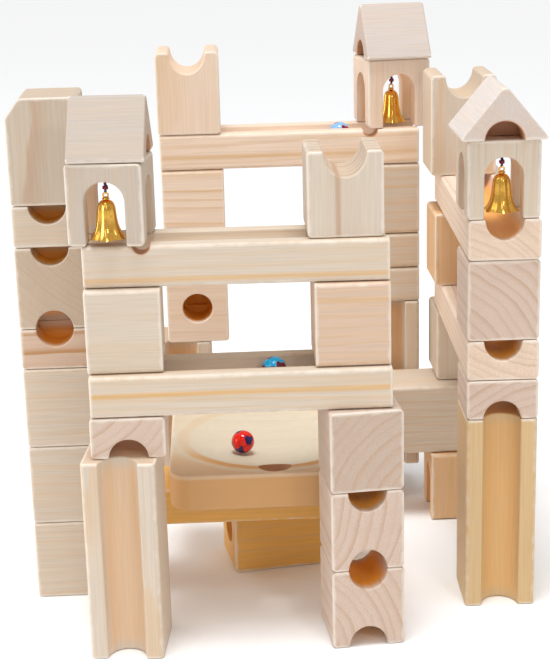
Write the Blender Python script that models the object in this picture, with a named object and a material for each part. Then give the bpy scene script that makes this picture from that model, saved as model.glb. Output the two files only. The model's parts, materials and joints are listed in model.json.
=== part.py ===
"""A wooden marble run: pine blocks piled into towers, joined by grooved rails, with three bell houses,
a dished tray and three marbles.

Metres, +Z up. The front faces -Y, and the object stands on z = 0 centred on the origin. Plan positions are
written from the front left corner of the lower front rail, heights in layers, a layer being a half block.
"""

import math

import bmesh
import bpy
from mathutils import Matrix, Vector

# Driving dimensions of the block system
MODULE = 0.040
LAYER = 0.0228
RAIL = 4 * MODULE
BACK_RAIL = 0.165
GAP = 0.0003
CORNER_RADIUS = 0.0024
RIM_RADIUS = 0.0012
END_BEVEL = 0.0010
CORNER_STEPS = 2
RIM_STEPS = 1
NOTCH_STEPS = 8
SHARP_ANGLE = math.radians(32)

# Where the plan's own corner lies from the centre of the whole object
PLAN_X = -0.10270
PLAN_Y = -0.12384

# Grooves and arches
GROOVE_WIDTH = 0.021
GROOVE_DEPTH = 0.0115
TURRET_GROOVE_WIDTH = 0.0225
TURRET_GROOVE_DEPTH = 0.0135
TALL_TURRET_LAYERS = 2.28
FAR_TURRET_LAYERS = 2.69
HORN_RADIUS = 0.0034
HORN_RIM_RADIUS = 0.0022
HALF_ROUND_DEPTH = 0.0105
ARCH_DEPTH = 0.0336
RIM_NOTCH_RADIUS = 0.0045

# Bell houses and roofs
HOUSE_LAYERS = 1.9
FRONT_ROOF_LAYERS = 1.47
BACK_ROOF_LAYERS = 1.54
RIGHT_ROOF_LAYERS = 1.31
ROOF_DEPTH = 0.049
ROOF_RADIUS = 0.0012
RIDGE_RADIUS = 0.0025

# The left tower's blocks are cut a little taller than the others
LEFT_LAYER = 1.0375 * LAYER
BLIND_GROOVE_LENGTH = 0.018
CAP_LAYERS = 2.61
CAP_CHAMFER_WIDTH = 0.0085
CAP_CHAMFER_HEIGHT = 0.0115

# Tray and the blocks under it
TRAY_PLACE = (0.038, 0.0395)
TRAY_SIDE = 3 * MODULE
TRAY_CORNER_RADIUS = 0.012
TRAY_HEIGHT = 0.925 * LAYER
TRAY_BASE = 2.9
DISH_RADIUS = 0.173
DISH_RIM_RADIUS = 0.052
DISH_SETBACK = 0.0625
DROP_HOLE_SETBACK = 0.0125
DROP_HOLE_RADIUS = 0.0094
SUPPORT_BLOCK_SIZE = (0.056, MODULE)
TUNNEL_RADIUS = 0.0105

# Corner cube with a bore that turns from its top to its front
EXIT_BORE_RADIUS = 0.0097
EXIT_BORE_DEPTH = 0.027

# Marbles, bells and their strings
MARBLE_RADIUS = 0.00675
BELL_RADIUS = 0.0101
BELL_WALL = 0.0009
BELL_CROWN_HEIGHT = 0.0200
BELL_KNOB_HEIGHT = 0.0240
BELL_SIDES = 16
HIGH_BELL_LIFT = 0.0036
LOW_BELL_LIFT = 0.0012
FRONT_BELL_SETBACK = 0.0060
RIGHT_BELL_SETBACK = 0.0080
CLAPPER_BALL_RADIUS = 0.0019
CLAPPER_ROD_RADIUS = 0.0006
CLAPPER_LIFT = 0.0005
CLAPPER_CLEARANCE = 0.0012
CORD_RADIUS = 0.0008
CORD_CLEARANCE = 0.0006
CORD_POINTS = 6
CORD_SWAY = 0.0006

PINE = ((0.79, 0.66, 0.51), 0.55, 0.0)
GOLD = ((0.83, 0.57, 0.16), 0.22, 1.0)
STRING_RED = ((0.32, 0.03, 0.05), 0.85, 0.0)
RED_GLASS = ((0.72, 0.05, 0.02), 0.08, 0.0)
CYAN_GLASS = ((0.10, 0.55, 0.72), 0.08, 0.0)
BLUE_GLASS = ((0.35, 0.62, 0.85), 0.08, 0.0)


def clear_scene():
    for obj in list(bpy.data.objects):
        bpy.data.objects.remove(obj, do_unlink=True)


def paint(obj, finish):
    """Gives the object a Principled material of its own."""
    colour, roughness, metallic = finish
    material = bpy.data.materials.new(obj.name + "_finish")
    material.use_nodes = True
    shader = material.node_tree.nodes["Principled BSDF"]
    shader.inputs["Base Color"].default_value = (*colour, 1.0)
    shader.inputs["Roughness"].default_value = roughness
    shader.inputs["Metallic"].default_value = metallic
    material.diffuse_color = (*colour, 1.0)
    obj.data.materials.append(material)


def make_object(name, mesh_builder, finish):
    """A new object from a bmesh, with faces turned outwards and its round parts shaded smooth."""
    bmesh.ops.recalc_face_normals(mesh_builder, faces=mesh_builder.faces)
    mesh = bpy.data.meshes.new(name)
    mesh_builder.to_mesh(mesh)
    mesh_builder.free()
    mesh.shade_smooth()
    mesh.set_sharp_from_angle(angle=SHARP_ANGLE)
    obj = bpy.data.objects.new(name, mesh)
    bpy.context.scene.collection.objects.link(obj)
    if finish:
        paint(obj, finish)
    return obj


# Outlines. A corner is (x, y, rounding radius, rounding steps), and a radius of 0 leaves it as it is.


def corner(x, y, radius=CORNER_RADIUS, steps=CORNER_STEPS):
    return (x, y, radius, steps)


def fillet(before, here, after, radius, steps):
    """The arc that rounds one corner of an outline."""
    towards_before = (before - here).normalized()
    towards_after = (after - here).normalized()
    half = towards_before.angle(towards_after) / 2
    centre = here + (towards_before + towards_after).normalized() * (radius / math.sin(half))
    first = here + towards_before * (radius / math.tan(half)) - centre
    last = here + towards_after * (radius / math.tan(half)) - centre
    spread = first.angle(last)
    points = []
    for step in range(steps + 1):
        share = spread * step / steps
        points.append(centre + (first * math.sin(spread - share) + last * math.sin(share)) / math.sin(spread))
    return points


def rounded(corners):
    """The points of an outline, counter-clockwise, with its corners rounded."""
    spots = [Vector(c[:2]) for c in corners]
    points = []
    for index, (_, _, radius, steps) in enumerate(corners):
        if radius:
            after = spots[(index + 1) % len(spots)]
            points += fillet(spots[index - 1], spots[index], after, radius, steps)
        else:
            points.append(spots[index])
    return points


def notch(width, depth, spring=0.0, rim=RIM_RADIUS):
    """Corners of a half-round cut into a face that lies along x; above spring it is a straight-sided arch."""
    corners = [corner(-width / 2, 0, rim, RIM_STEPS)]
    if spring:
        corners.append(corner(-width / 2, spring, 0))
    for step in range(1, NOTCH_STEPS):
        angle = math.pi * (1 - step / NOTCH_STEPS)
        corners.append(corner(width / 2 * math.cos(angle), spring + (depth - spring) * math.sin(angle), 0))
    if spring:
        corners.append(corner(width / 2, spring, 0))
    corners.append(corner(width / 2, 0, rim, RIM_STEPS))
    return corners


GROOVE = notch(GROOVE_WIDTH, GROOVE_DEPTH)
TURRET_GROOVE = notch(TURRET_GROOVE_WIDTH, TURRET_GROOVE_DEPTH)
HORNED_GROOVE = notch(TURRET_GROOVE_WIDTH, TURRET_GROOVE_DEPTH, rim=HORN_RIM_RADIUS)
HALF_ROUND = notch(GROOVE_WIDTH, HALF_ROUND_DEPTH)
ARCH = notch(GROOVE_WIDTH, ARCH_DEPTH, spring=ARCH_DEPTH - GROOVE_WIDTH / 2)


def block_outline(width, height, low=(), high=(), crown=CORNER_RADIUS):
    """A rounded rectangle centred on x and standing on y = 0, with cuts in its low and high sides."""
    corners = [corner(-width / 2, 0), *low, corner(width / 2, 0), corner(width / 2, height, crown)]
    for x, y, radius, steps in high:
        corners.append((-x, height - y, radius, steps))
    corners.append(corner(-width / 2, height, crown))
    return rounded(corners)


def inset(points, distance):
    """The outline moved inwards by an even distance."""
    moved = []
    for index, point in enumerate(points):
        along = (point - points[index - 1]).normalized()
        onward = (points[(index + 1) % len(points)] - point).normalized()
        normals = Vector((-along.y, along.x)), Vector((-onward.y, onward.x))
        moved.append(point + (normals[0] + normals[1]) * (distance / (1 + normals[0].dot(normals[1]))))
    return moved


# What an outline's x, y and the distance along the extrusion become, for each direction of extrusion
DIRECTIONS = {
    "X": Matrix(((0, 0, 1), (1, 0, 0), (0, 1, 0))),
    "Y": Matrix(((1, 0, 0), (0, 0, 1), (0, 1, 0))),
    "Z": Matrix(((1, 0, 0), (0, 1, 0), (0, 0, 1))),
}


def prism(name, points, length, along, shift, finish=PINE, bevel=END_BEVEL):
    """An outline extruded from 0 to length, with bevelled ends; shift moves the outline in its own x."""
    builder = bmesh.new()
    tight = inset(points, bevel)
    sections = [(tight, 0.0), (points, bevel), (points, length - bevel), (tight, length)]
    rings = []
    for section, distance in sections:
        ring = [builder.verts.new(DIRECTIONS[along] @ Vector((p.x + shift, p.y, distance))) for p in section]
        rings.append(ring)
    for lower, upper in zip(rings, rings[1:]):
        for index in range(len(points)):
            following = (index + 1) % len(points)
            builder.faces.new((lower[index], lower[following], upper[following], upper[index]))
    builder.faces.new(rings[0])
    builder.faces.new(rings[-1])
    return make_object(name, builder, finish)


def stand(obj, place, base, turn=0.0, layer=LAYER):
    """Puts an object's front left bottom corner at a place in the plan, base layers up, turned about +Z."""
    obj.location = (place[0] + PLAN_X, place[1] + PLAN_Y, base * layer)
    obj.rotation_euler.z = math.radians(turn)
    return obj


def block(name, place, base, layers, along="Y", low=(), high=(), turn=0.0, size=(MODULE, MODULE), layer=LAYER,
          crown=CORNER_RADIUS):
    """A pine block of the system; low and high are the cuts in its lower and upper (or front and back) sides."""
    width, depth = size
    height = layers * layer - GAP
    spans = {"X": (depth, height, width), "Y": (width, height, depth), "Z": (width, depth, height)}
    across, tall, length = spans[along]
    obj = prism(name, block_outline(across, tall, low, high, crown), length, along, across / 2)
    return stand(obj, place, base, turn, layer)


def cutter(body, name, builder, matrix):
    """Cuts the body with a hidden solid that is placed in the body's own axes."""
    tool = make_object(name, builder, None)
    tool.parent = body
    tool.matrix_local = matrix
    tool.hide_render = True
    tool.display_type = "WIRE"
    cut = body.modifiers.new(name, "BOOLEAN")
    cut.operation = "DIFFERENCE"
    cut.object = tool
    return tool


def round_cut(body, name, radius, length, matrix, sides=24):
    """Cuts a round bore about the matrix's own z axis, from its origin upwards."""
    builder = bmesh.new()
    shift = Matrix.Translation((0, 0, length / 2))
    bmesh.ops.create_cone(builder, cap_ends=True, segments=sides, radius1=radius, radius2=radius,
                          depth=length, matrix=shift)
    return cutter(body, name, builder, matrix)


def side_arch_cut(body):
    """Cuts the second arch of a bell house, from its left side to its right side."""
    margin = 0.002
    points = []
    for x, y, _, _ in ARCH:
        points.append(Vector((x, y)))
    points = [Vector((points[0].x, -margin)), *points[1:-1], Vector((points[-1].x, -margin))]
    builder = bmesh.new()
    ends = []
    for distance in (-margin, MODULE + margin):
        ends.append([builder.verts.new((distance, p.x + MODULE / 2, p.y)) for p in points])
    for index in range(len(points)):
        following = (index + 1) % len(points)
        builder.faces.new((ends[0][index], ends[0][following], ends[1][following], ends[1][index]))
    builder.faces.new(ends[0])
    builder.faces.new(ends[1])
    cutter(body, body.name + "_side_arch", builder, Matrix.Identity(4))


def blind_groove_cut(body, name, height, middle=MODULE / 2):
    """Cuts a half-round from the front of a block at its top or bottom, closed at the back."""
    margin = 0.002
    matrix = Matrix.Translation((middle, -margin, height)) @ Matrix.Rotation(-math.pi / 2, 4, "X")
    round_cut(body, body.name + name, GROOVE_WIDTH / 2, BLIND_GROOVE_LENGTH + margin, matrix)


def rim_notch_cut(rail, distance):
    """Cuts the small half-round notch through the front rim of a rail."""
    matrix = Matrix.Translation((distance, -0.002, LAYER - GAP)) @ Matrix.Rotation(-math.pi / 2, 4, "X")
    round_cut(rail, rail.name + "_rim_notch", RIM_NOTCH_RADIUS, MODULE / 2, matrix, sides=16)


def roof(name, place, base, layers, length, along, turn=0.0, under=HALF_ROUND):
    """A gabled roof with its ridge along the extrusion and, as a rule, a half-round running under it."""
    height = layers * LAYER - GAP
    corners = [
        corner(-ROOF_DEPTH / 2, 0, ROOF_RADIUS),
        *under,
        corner(ROOF_DEPTH / 2, 0, ROOF_RADIUS),
        corner(0, height, RIDGE_RADIUS),
    ]
    obj = prism(name, rounded(corners), length, along, ROOF_DEPTH / 2)
    return stand(obj, place, base, turn)


def bell_house(name, place, base, turn=0.0):
    obj = block(name, place, base, HOUSE_LAYERS, "Y", low=ARCH, turn=turn)
    side_arch_cut(obj)
    return obj


def lathe(name, profile, sides, finish):
    """Turns a closed profile of (radius, height) about z; the profile starts and ends on the axis."""
    builder = bmesh.new()
    first = builder.verts.new((0, 0, profile[0][1]))
    last = builder.verts.new((0, 0, profile[-1][1]))
    rings = []
    for radius, height in profile[1:-1]:
        ring = []
        for side in range(sides):
            angle = 2 * math.pi * side / sides
            ring.append(builder.verts.new((radius * math.cos(angle), radius * math.sin(angle), height)))
        rings.append(ring)
    for side in range(sides):
        following = (side + 1) % sides
        builder.faces.new((first, rings[0][side], rings[0][following]))
        for upper, lower in zip(rings, rings[1:]):
            builder.faces.new((upper[side], lower[side], lower[following], upper[following]))
        builder.faces.new((rings[-1][side], last, rings[-1][following]))
    return make_object(name, builder, finish)


def bell_outer(height):
    """Radius of the bell's outside at a height above its mouth."""
    share = height / BELL_CROWN_HEIGHT
    flare = 0.5 * math.exp(-4.2 * share)
    shoulder = 0.5 * math.sqrt(1 - share ** 10)
    return BELL_RADIUS * (shoulder + flare)


def bell(name, pivot, lift, along):
    """A bell, its clapper and its string, hung from a point under a house's ceiling, with its mouth at a lift
    above the house's foot."""
    drop = ARCH_DEPTH - lift
    heights = [BELL_CROWN_HEIGHT * share for share in (0.97, 0.85, 0.6, 0.35, 0.18, 0.07, 0.0)]
    knob = [(0, BELL_KNOB_HEIGHT), (0.0010, BELL_KNOB_HEIGHT - 0.0002), (0.0015, BELL_KNOB_HEIGHT - 0.0013),
            (0.0009, BELL_CROWN_HEIGHT + 0.0009)]
    outside = [(bell_outer(height), height) for height in heights]
    inside = [(bell_outer(height) - BELL_WALL, height) for height in reversed(heights[1:])]
    profile = [(radius, height - drop) for radius, height in knob + outside + inside]
    profile.append((0, BELL_CROWN_HEIGHT - BELL_WALL - drop))
    cup = lathe(name + "_cup", profile, BELL_SIDES, GOLD)
    cup.location = pivot

    rod_top = BELL_CROWN_HEIGHT - BELL_WALL - CLAPPER_CLEARANCE
    ball = CLAPPER_LIFT + CLAPPER_BALL_RADIUS
    clapper_profile = [(0, rod_top), (CLAPPER_ROD_RADIUS, rod_top),
                       (CLAPPER_ROD_RADIUS, ball + 0.9 * CLAPPER_BALL_RADIUS)]
    for degrees in (40, 0, -50):
        angle = math.radians(degrees)
        reach = CLAPPER_BALL_RADIUS * math.cos(angle)
        clapper_profile.append((reach, ball + CLAPPER_BALL_RADIUS * math.sin(angle)))
    clapper_profile.append((0, CLAPPER_LIFT))
    hung = [(radius, height - rod_top) for radius, height in clapper_profile]
    clapper = lathe(name + "_clapper", hung, 8, GOLD)
    clapper.location = Vector(pivot) + Vector((0, 0, rod_top - drop))

    string = bpy.data.curves.new(name + "_cord", "CURVE")
    string.dimensions = "3D"
    string.bevel_depth = CORD_RADIUS
    string.bevel_resolution = 2
    string.use_fill_caps = True
    spline = string.splines.new("POLY")
    spline.points.add(CORD_POINTS - 1)
    top = -CORD_CLEARANCE
    bottom = BELL_KNOB_HEIGHT + GAP - drop
    for index, point in enumerate(spline.points):
        share = index / (CORD_POINTS - 1)
        sway = CORD_SWAY * math.sin(math.pi * share) ** 2
        offset = Vector((sway, 0)) if along == "X" else Vector((0, sway))
        point.co = (offset.x, offset.y, top + (bottom - top) * share, 1)
    cord = bpy.data.objects.new(name + "_cord", string)
    bpy.context.scene.collection.objects.link(cord)
    cord.location = pivot
    paint(cord, STRING_RED)


def marble(name, centre, finish):
    builder = bmesh.new()
    bmesh.ops.create_uvsphere(builder, u_segments=16, v_segments=10, radius=MARBLE_RADIUS)
    obj = make_object(name, builder, finish)
    obj.location = centre


def house_pivot(house, setback=MODULE / 2):
    """A point of a bell house's ceiling, halfway across and set back from its front, in world axes."""
    spot = Vector((MODULE / 2, setback, ARCH_DEPTH))
    spot.rotate(house.rotation_euler)
    return Vector(house.location) + spot


def front_frame():
    block("front_left_channel", (-0.0070, -0.0052), 0, 5, "Z", low=GROOVE, turn=-5.5)
    block("front_left_arch_block", (-0.0010, 0), 5, 1, "Y", low=HALF_ROUND)
    block("lower_front_rail", (0, 0), 6, 1, "X", high=GROOVE, size=(RAIL, MODULE))
    block("left_spacer_cube", (-0.0006, 0.0048), 7, 2, "X")
    block("right_spacer_cube", (0.1196, 0.0036), 7, 2, "X")
    rail = block("upper_front_rail", (-0.0005, 0.0095), 9, 1, "X", high=GROOVE, turn=-1.3, size=(RAIL, MODULE))
    rim_notch_cut(rail, 0.0310)
    house = bell_house("front_bell_house", (-0.007, 0.0100), 10, turn=-7)
    roof("front_bell_roof", (-0.0060, 0.0075), 10 + HOUSE_LAYERS, FRONT_ROOF_LAYERS, 0.0405, "X", turn=-4)
    bell("front_bell", house_pivot(house, FRONT_BELL_SETBACK), HIGH_BELL_LIFT, "Y")
    block("front_turret", (0.117, 0.0100), 10, 2, "Y", high=TURRET_GROOVE)
    column = (0.1258, -0.0057)
    block("front_right_base_cube", column, 0, 2, "Y", low=GROOVE, high=GROOVE, turn=5.8)
    block("front_right_middle_cube", column, 2, 2, "Y", low=GROOVE, high=GROOVE, turn=5.8)
    block("front_right_top_cube", column, 4, 2, "Y", turn=5.8)


def left_tower():
    place = (-0.0436, 0.0745)
    names = ("left_base_cube", "left_lower_cube", "left_middle_cube")
    for index, name in enumerate(names):
        block(name, place, 2 * index, 2, "Y", layer=LEFT_LAYER)
    half_block = block("left_grooved_half_block", place, 6, 1, "Y", layer=LEFT_LAYER)
    blind_groove_cut(half_block, "_high_groove", LEFT_LAYER)
    cube = block("left_grooved_cube", place, 7, 2, "Y", layer=LEFT_LAYER)
    blind_groove_cut(cube, "_low_groove", 0)
    blind_groove_cut(cube, "_high_groove", 2 * LEFT_LAYER)
    upper = block("left_upper_half_block", place, 9, 1, "Y", layer=LEFT_LAYER)
    blind_groove_cut(upper, "_high_groove", LEFT_LAYER)
    height = CAP_LAYERS * LAYER
    half = MODULE / 2
    corners = [corner(-half, 0), corner(half, 0), corner(half, height),
               corner(CAP_CHAMFER_WIDTH - half, height), corner(-half, height - CAP_CHAMFER_HEIGHT)]
    cap = prism("left_cap_block", rounded(corners), MODULE, "Y", half)
    stand(cap, place, 10, layer=LEFT_LAYER)


def tray_group():
    half = TRAY_SIDE / 2
    corners = [corner(-half, 0, TRAY_CORNER_RADIUS, 4), corner(half, 0), corner(half, TRAY_SIDE),
               corner(-half, TRAY_SIDE)]
    tray = prism("catch_tray", rounded(corners), TRAY_HEIGHT - GAP, "Z", half)
    stand(tray, TRAY_PLACE, TRAY_BASE)
    top = TRAY_HEIGHT - GAP
    rise = math.sqrt(DISH_RADIUS ** 2 - DISH_RIM_RADIUS ** 2)
    builder = bmesh.new()
    bmesh.ops.create_uvsphere(builder, u_segments=40, v_segments=50, radius=DISH_RADIUS)
    cutter(tray, "catch_tray_dish", builder, Matrix.Translation((half, DISH_SETBACK, top + rise)))
    hole = Matrix.Translation((half, DROP_HOLE_SETBACK, -0.002))
    round_cut(tray, "catch_tray_drop_hole", DROP_HOLE_RADIUS, 0.04, hole)
    block("tray_support_plank", (0.005, 0.073), 1.9, 1, "X", size=(RAIL, MODULE))
    support = block("tray_support_block", (0.074, 0.096), 0, 1.9, "Y", turn=10, size=SUPPORT_BLOCK_SIZE)
    tunnel = Matrix.Translation((-0.002, MODULE / 2, 1.05 * LAYER)) @ Matrix.Rotation(math.pi / 2, 4, "Y")
    round_cut(support, "tray_support_tunnel", TUNNEL_RADIUS, 0.06, tunnel)


def back_frame():
    row = 0.2087
    block("back_left_channel", (0.0235, row), 0, 5, "Z", low=GROOVE)
    drop = block("drop_hole_cube", (0.0353, row), 5, 2, "Y")
    exit_bore = Matrix.Translation((MODULE / 2, -0.002, LAYER)) @ Matrix.Rotation(-math.pi / 2, 4, "X")
    round_cut(drop, "drop_hole_exit", EXIT_BORE_RADIUS, EXIT_BORE_DEPTH, exit_bore)
    entry = Matrix.Translation((MODULE / 2, MODULE / 2, LAYER * 0.8))
    round_cut(drop, "drop_hole_entry", EXIT_BORE_RADIUS - 0.0004, 0.05, entry)
    block("back_left_half_block", (0.0353, row), 7, 1, "X")
    block("back_left_upper_cube", (0.0353, row), 8, 2, "X")
    rail = block("back_rail", (0.0352, row), 10, 1, "X", high=GROOVE, size=(BACK_RAIL, MODULE))
    rim_notch_cut(rail, 0.1340)
    block("back_turret", (0.0345, row), 11, TALL_TURRET_LAYERS, "Y", high=HORNED_GROOVE, crown=HORN_RADIUS)
    house = bell_house("back_bell_house", (0.1683, row), 11, turn=9)
    roof("back_bell_roof", (0.1678, row - 0.0045), 11 + HOUSE_LAYERS, BACK_ROOF_LAYERS, 0.041, "X", turn=7)
    bell("back_bell", house_pivot(house), LOW_BELL_LIFT, "X")
    block("back_right_base_half_block", (0.148, row), 0, 1, "Y")
    block("back_right_channel", (0.1605, row), 1, 5, "Z", low=GROOVE)
    block("back_right_lower_half_block", (0.1605, row), 6, 1, "X")
    block("back_right_middle_half_block", (0.1605, row), 7, 1, "X")
    block("back_right_upper_cube", (0.1605, row), 8, 2, "X")


def right_tower():
    place = (0.2054, 0.0395)
    block("right_channel", place, 0, 5, "Z", low=GROOVE, turn=-1)
    block("right_arch_block", place, 5, 1, "Y", low=HALF_ROUND, turn=-1)
    block("lower_side_rail", (0.2054, 0.040), 6, 1, "Y", high=GROOVE, turn=-1.3, size=(MODULE, RAIL))
    block("right_tower_cube", (0.2054, 0.040), 7, 2, "Y")
    block("upper_side_rail", (0.2054, 0.040), 9, 1, "Y", high=GROOVE, turn=-1.3, size=(MODULE, RAIL))
    house = bell_house("right_bell_house", (0.2045, 0.040), 10)
    gable = roof("right_bell_roof", (0.1992, 0.035), 10 + HOUSE_LAYERS, RIGHT_ROOF_LAYERS, 0.050, "Y", under=())
    blind_groove_cut(gable, "_half_round", 0, ROOF_DEPTH / 2)
    bell("right_bell", house_pivot(house, RIGHT_BELL_SETBACK), HIGH_BELL_LIFT, "Y")


def far_column():
    block("far_base_block", (0.203, 0.165), 0, 2, "X", low=ARCH)
    block("far_cross_block", (0.165, 0.168), 2, 2, "X", size=(0.060, MODULE))
    block("far_lower_cube", (0.208, 0.180), 4, 2, "Y")
    block("far_upper_cube", (0.2039, 0.160), 7, 2, "Y")
    block("far_turret", (0.2020, 0.165), 10, FAR_TURRET_LAYERS, "Y", high=HORNED_GROOVE, crown=HORN_RADIUS)


def resting(rail_top, y, x):
    """Centre of a marble that lies in a rail's groove, the rail's top being at rail_top layers."""
    height = rail_top * LAYER - GAP - GROOVE_DEPTH + MARBLE_RADIUS + GAP
    return (x + PLAN_X, y + PLAN_Y, height)


def marbles():
    marble("red_marble", (0.0807 + PLAN_X, 0.0898 + PLAN_Y, 0.0877), RED_GLASS)
    marble("cyan_marble", resting(7, 0.020, 0.098), CYAN_GLASS)
    marble("blue_marble", resting(11, 0.2287, 0.151), BLUE_GLASS)


clear_scene()
front_frame()
left_tower()
tray_group()
back_frame()
right_tower()
far_column()
marbles()
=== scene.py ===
"""Looks of the wooden marble run: pine blocks with real grain, brass bells on thread and glass marbles.

Every piece takes its place from the CAD frame and rides on its CAD body. Metres, +Z up, front facing -Y.
A piece is built about its own centre, so its grain, cuts, wear, painted shade and painted highlights are in its own
axes and move with it.
"""

import json
import math
import zlib

import bmesh
import bpy
from mathutils import Matrix, Vector

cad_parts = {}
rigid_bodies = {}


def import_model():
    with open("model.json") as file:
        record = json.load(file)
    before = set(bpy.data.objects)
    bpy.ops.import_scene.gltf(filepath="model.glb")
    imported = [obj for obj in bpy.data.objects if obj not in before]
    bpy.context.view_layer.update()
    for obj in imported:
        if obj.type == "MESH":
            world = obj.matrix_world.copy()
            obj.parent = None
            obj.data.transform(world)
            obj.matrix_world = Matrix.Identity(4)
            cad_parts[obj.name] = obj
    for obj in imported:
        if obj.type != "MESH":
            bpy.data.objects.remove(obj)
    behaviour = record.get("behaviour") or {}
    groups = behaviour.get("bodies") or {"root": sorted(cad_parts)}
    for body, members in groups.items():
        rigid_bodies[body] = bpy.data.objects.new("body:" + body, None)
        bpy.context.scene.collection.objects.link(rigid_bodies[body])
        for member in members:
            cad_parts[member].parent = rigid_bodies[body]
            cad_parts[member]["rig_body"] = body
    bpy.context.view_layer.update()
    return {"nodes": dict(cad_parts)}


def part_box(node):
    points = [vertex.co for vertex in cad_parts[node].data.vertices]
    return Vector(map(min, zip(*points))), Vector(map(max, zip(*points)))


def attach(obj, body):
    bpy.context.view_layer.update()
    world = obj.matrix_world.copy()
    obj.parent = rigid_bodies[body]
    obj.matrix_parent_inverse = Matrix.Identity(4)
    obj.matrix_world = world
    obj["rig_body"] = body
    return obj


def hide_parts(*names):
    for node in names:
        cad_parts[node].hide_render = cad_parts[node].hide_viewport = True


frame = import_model()

# Driving dimensions of the block system
MODULE = 0.040
LAYER = 0.0228
RAIL = 4 * MODULE
CORNER_RADIUS = 0.0024
RIM_RADIUS = 0.0012
END_BEVEL = 0.0010
CORNER_STEPS = 5
RIM_STEPS = 4
END_STEPS = 3
NOTCH_STEPS = 28
SHARP_ANGLE = math.radians(38)

# Grooves, arches and bores
GROOVE_WIDTH = 0.021
GROOVE_DEPTH = 0.0115
TURRET_GROOVE_WIDTH = 0.0225
TURRET_GROOVE_DEPTH = 0.0135
HORN_RADIUS = 0.0034
HORN_RIM_RADIUS = 0.0022
HALF_ROUND_DEPTH = 0.0105
ARCH_DEPTH = 0.0336
RIM_NOTCH_RADIUS = 0.0045
EXIT_BORE_RADIUS = 0.0097
EXIT_BORE_DEPTH = 0.027
TUNNEL_RADIUS = 0.0105
BORE_SIDES = 56
BORE_RIM_RADIUS = 0.0007
BLIND_GROOVE_LENGTH = 0.018
CLEAR = 0.002

# Roofs, cap and tray
ROOF_RADIUS = 0.0012
RIDGE_RADIUS = 0.0028
ROOF_DEPTH = 0.049
CAP_CHAMFER_WIDTH = 0.0085
CAP_CHAMFER_HEIGHT = 0.0115
TRAY_CORNER_RADIUS = 0.012
DISH_RADIUS = 0.173
DISH_RIM_RADIUS = 0.052
DISH_SETBACK = 0.0625
DROP_HOLE_SETBACK = 0.0125
DROP_HOLE_RADIUS = 0.0094

# Bells, strings and marbles
BELL_WALL = 0.0009
BELL_CROWN = 0.0200
BELL_SIDES = 72
BELL_RINGS = 26
PETALS = 6
PETAL_DEPTH = 0.00090
LOOP_RADIUS = 0.0013
LOOP_WIRE = 0.00045
THREAD_RADIUS = 0.00042
THREAD_LAY = 0.0026

# The photograph's viewpoint, from the point of the floor below the lower front rail's front left corner
CAMERA_FROM_RAIL = Vector((0.071799, -0.800895, 0.420530))
CAMERA_YAW = 0.0331746
CAMERA_PITCH = 0.2901425
CAMERA_ROLL = -0.0264541
CAMERA_LENS = 105.163

# Colours, linear
EARLY_WOOD = (0.660, 0.555, 0.445)
LATE_WOOD = (0.700, 0.430, 0.190)
PINK_EARLY = (0.690, 0.550, 0.460)
BROWN_LATE = (0.480, 0.230, 0.070)
TURRET_LATE = (0.480, 0.290, 0.170)
PINK_LATE = (0.540, 0.350, 0.230)
YELLOW_EARLY = (0.640, 0.455, 0.240)
GOLDEN_EARLY = (0.820, 0.440, 0.100)
TAN_EARLY = (0.760, 0.480, 0.260)
ROSY_EARLY = (0.660, 0.480, 0.360)
PALE_EARLY = (0.850, 0.675, 0.535)
COLUMN_EARLY = (0.590, 0.470, 0.385)
GREY_EARLY = (0.600, 0.500, 0.390)
HOUSE_EARLY = (0.545, 0.460, 0.380)
ROOF_EARLY = (0.490, 0.415, 0.355)
BACK_ROOF_EARLY = (0.570, 0.485, 0.435)
GABLE_EARLY = (0.670, 0.600, 0.560)
# Worn edges, lighter also as a painted highlight
WORN_HIGHLIGHT_WOOD = (0.840, 0.750, 0.650)
# Painted shade of deep hollows: orange-brown, as if shaded and lit by light bounced off the wood
HOLLOW_SHADE_WOOD = (0.950, 0.430, 0.060)
# Painted shade inside bores, notches and half-rounds: red-brown
BORE_SHADE_WOOD = (0.520, 0.230, 0.095)
TRAY_EARLY = (0.690, 0.610, 0.470)
TRAY_GRAIN = (0.620, 0.490, 0.320)
# Late wood of the tray's ring, also the colour of the painted shade on its sides
TRAY_LATE_AND_SHADE = (0.620, 0.300, 0.080)
STUDIO_RADIUS = 40.0
COOL_WHITE = (0.880, 0.950, 1.000)
MAROON = (0.130, 0.012, 0.030)
NAVY = (0.016, 0.024, 0.120)


# Outlines. A corner is (x, y, rounding radius, rounding steps), and a radius of 0 leaves it as it is.


def corner(x, y, radius=CORNER_RADIUS, steps=CORNER_STEPS):
    return (x, y, radius, steps)


def fillet(before, here, after, radius, steps):
    """The arc that rounds one corner of an outline."""
    towards_before = (before - here).normalized()
    towards_after = (after - here).normalized()
    half = towards_before.angle(towards_after) / 2
    centre = here + (towards_before + towards_after).normalized() * (radius / math.sin(half))
    first = here + towards_before * (radius / math.tan(half)) - centre
    last = here + towards_after * (radius / math.tan(half)) - centre
    spread = first.angle(last)
    points = []
    for step in range(steps + 1):
        share = spread * step / steps
        points.append(centre + (first * math.sin(spread - share) + last * math.sin(share)) / math.sin(spread))
    return points


def rounded(corners):
    """The points of an outline, counter-clockwise, with its corners rounded."""
    spots = [Vector(c[:2]) for c in corners]
    points = []
    for index, (_, _, radius, steps) in enumerate(corners):
        if radius:
            after = spots[(index + 1) % len(spots)]
            points += fillet(spots[index - 1], spots[index], after, radius, steps)
        else:
            points.append(spots[index])
    return points


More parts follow.
